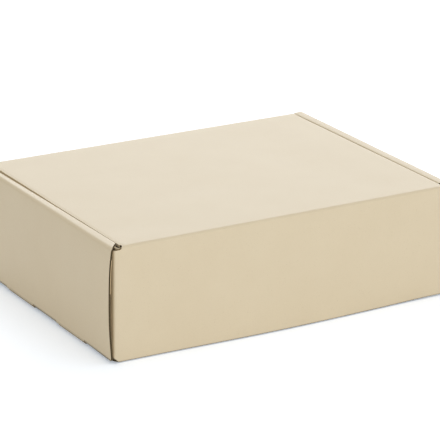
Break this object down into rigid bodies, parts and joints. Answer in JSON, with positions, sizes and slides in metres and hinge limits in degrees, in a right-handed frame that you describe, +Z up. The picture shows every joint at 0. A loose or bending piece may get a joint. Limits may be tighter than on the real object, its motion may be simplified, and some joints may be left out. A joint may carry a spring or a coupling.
{
  "type": "corrugated mailer box",
  "caption": "Closed flat mailer box folded from corrugated board, with double side walls and a front flap whose ears tuck into them.",
  "frame": {"origin": "middle of the closed box's footprint, on the surface that it stands on", "axes": "+X along the front to the right, +Y from the front flap to the back wall, +Z up"},
  "size_m": [0.2726, 0.198, 0.08],
  "materials": {
    "kraft_board": "matt"
  },
  "bodies": {
    "tray_and_lid": {"folded_sheet": "kraft_board"},
    "flap": {"front_flap": "kraft_board"}
  },
  "joints": [
    {"name": "front_crease", "type": "hinge", "parent": "tray_and_lid", "child": "flap", "pos_m": [0, -0.09541, 0.07941], "axis": [-1, 0, 0], "range_deg": [0, 110]}
  ]
}
